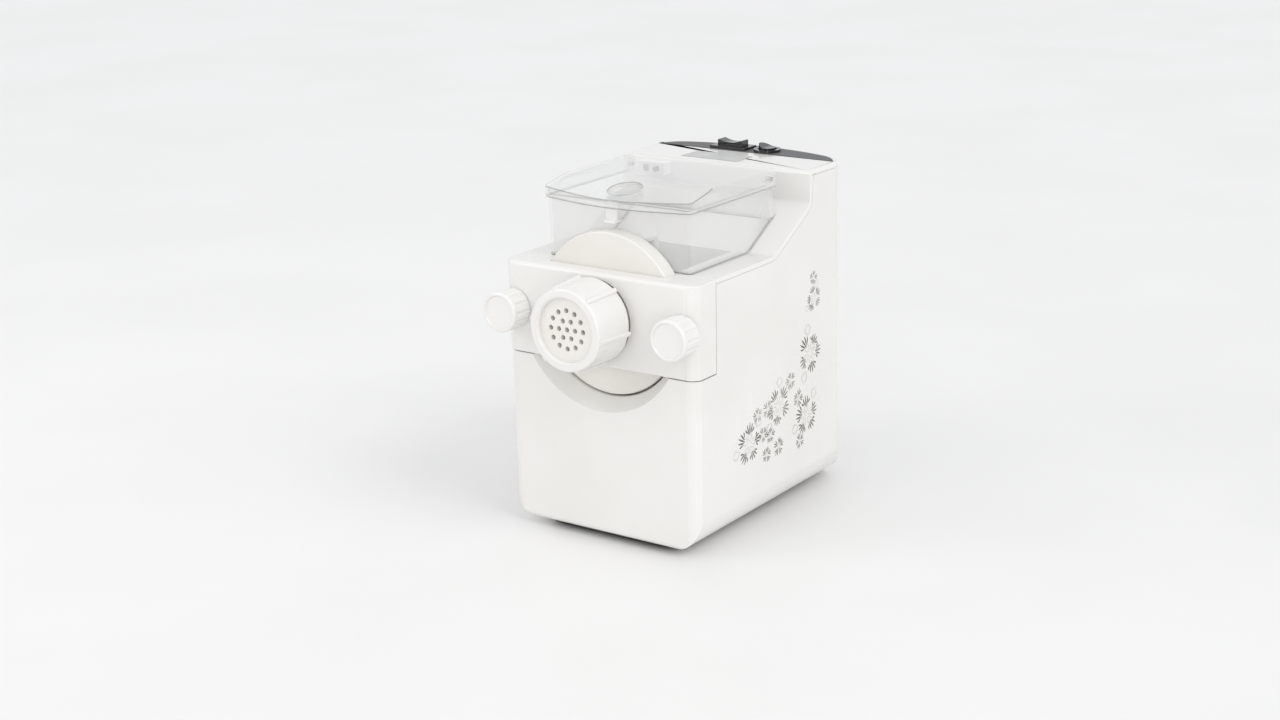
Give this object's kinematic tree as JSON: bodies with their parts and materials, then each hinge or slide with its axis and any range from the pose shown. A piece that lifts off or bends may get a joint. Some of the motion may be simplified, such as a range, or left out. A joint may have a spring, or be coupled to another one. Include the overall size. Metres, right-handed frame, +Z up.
{
  "type": "electric pasta maker",
  "caption": "Countertop machine that mixes dough in a clear lidded bowl and presses it through a die at its nose.",
  "frame": {"origin": "centre of the bounding box's base, on the surface that the feet stand on", "axes": "+Z up, -Y out of the nozzle to the front, +X to the right of a person facing the rear wall"},
  "size_m": [0.2074, 0.314, 0.3096],
  "materials": {
    "white_shell": "gloss",
    "white_trim": "gloss",
    "dark_panel": "satin",
    "black_switch": "gloss",
    "clear": "clear moulded plastic",
    "tub_plastic": "gloss",
    "die_plastic": "satin",
    "rubber_dark": "matt",
    "rubber_pale": "matt",
    "steel": "brushed",
    "brass": "satin",
    "gear_plastic": "satin",
    "case_plastic": "satin",
    "base_plastic": "matt",
    "board": "satin",
    "grey_part": "satin"
  },
  "bodies": {
    "machine": {"housing": "white_shell", "top_cover": "white_shell", "control_panel": "dark_panel", "threaded_inserts": "brass", "mixing_tub": "tub_plastic", "tub_bush": "brass", "shaft_seal": "rubber_dark", "idler_pin": "steel", "gear_case": "case_plastic", "gear_case_cover": "case_plastic", "motor": "grey_part", "motor_stand": "steel", "base_plate": "base_plastic", "rubber_feet": "rubber_dark", "circuit_board": "board", "board_parts": "grey_part", "power_inlet": "black_switch", "inlet_contacts": "brass", "large_switch_frame": "black_switch", "small_switch_frame": "black_switch", "safety_guard": "white_trim", "guard_window": "grey_part", "micro_switch": "base_plastic"},
    "front_cover": {"front_panel": "white_shell", "chamber_plate": "white_trim", "chamber_gasket": "rubber_pale"},
    "die": {"pasta_die": "die_plastic", "die_seal": "rubber_pale"},
    "nut": {"die_nut": "white_trim"},
    "left_knob": {"knob_left": "white_trim", "knob_screw_left": "steel"},
    "right_knob": {"knob_right": "white_trim", "knob_screw_right": "steel"},
    "bowl": {"mixing_bowl": "clear"},
    "lid": {"lid": "clear", "hinge_pins": "steel", "lid_catch": "white_trim"},
    "auger": {"auger": "white_trim", "output_shaft": "steel", "output_gear": "gear_plastic"},
    "idler": {"idler_gear": "gear_plastic"},
    "rotor": {"motor_shaft": "steel", "motor_pinion": "brass", "cooling_fan": "gear_plastic"},
    "rocker_large": {"rocker_large": "black_switch"},
    "rocker_small": {"rocker_small": "black_switch"},
    "plunger": {"safety_plunger": "black_switch"}
  },
  "joints": [
    {"name": "front_cover_off", "type": "slide", "parent": "machine", "child": "front_cover", "axis": [0, -1, 0], "range_m": [0, 0.06]},
    {"name": "left_knob_turn", "type": "hinge", "parent": "front_cover", "child": "left_knob", "pos_m": [-0.087, -0.11148, 0.1982], "axis": [0, -1, 0], "range_deg": [0, 1080]},
    {"name": "right_knob_turn", "type": "hinge", "parent": "front_cover", "child": "right_knob", "pos_m": [0.087, -0.11148, 0.1982], "axis": [0, -1, 0], "range_deg": [0, 1080]},
    {"name": "die_out", "type": "slide", "parent": "front_cover", "child": "die", "axis": [0, -1, 0], "range_m": [0, 0.012]},
    {"name": "nut_turn", "type": "hinge", "parent": "die", "child": "nut", "pos_m": [0, -0.11148, 0.2], "axis": [0, -1, 0], "range_deg": [0, 1080]},
    {"name": "bowl_lift", "type": "slide", "parent": "machine", "child": "bowl", "axis": [0, 0, 1], "range_m": [0, 0.06]},
    {"name": "lid_hinge", "type": "hinge", "parent": "bowl", "child": "lid", "pos_m": [0, 0.04552, 0.2975], "axis": [-1, 0, 0], "range_deg": [0, 95]},
    {"name": "auger_turn", "type": "hinge", "parent": "machine", "child": "auger", "pos_m": [0, -0.11148, 0.2], "axis": [0, 1, 0], "continuous": true},
    {"name": "idler_turn", "type": "hinge", "parent": "machine", "child": "idler", "pos_m": [0, -0.11148, 0.144], "axis": [0, 1, 0], "continuous": true},
    {"name": "rotor_turn", "type": "hinge", "parent": "machine", "child": "rotor", "pos_m": [0, -0.11148, 0.089], "axis": [0, 1, 0], "continuous": true},
    {"name": "large_rocker_tilt", "type": "hinge", "parent": "machine", "child": "rocker_large", "pos_m": [-0.02, 0.13352, 0.303], "axis": [0, 1, 0], "range_deg": [-10, 10]},
    {"name": "small_rocker_tilt", "type": "hinge", "parent": "machine", "child": "rocker_small", "pos_m": [0.017, 0.13352, 0.303], "axis": [0, 1, 0], "range_deg": [-14, 0]},
    {"name": "plunger_press", "type": "slide", "parent": "machine", "child": "plunger", "axis": [0, 1, 0], "range_m": [0, 0.0025], "stiffness_N_per_m": 60}
  ],
  "couplings": [
    {"joint": "idler_turn", "follows": "auger_turn", "ratio": -4.0909},
    {"joint": "rotor_turn", "follows": "auger_turn", "ratio": 18.409},
    {"joint": "die_out", "follows": "nut_turn", "m_per_rad": 0.00063662}
  ]
}
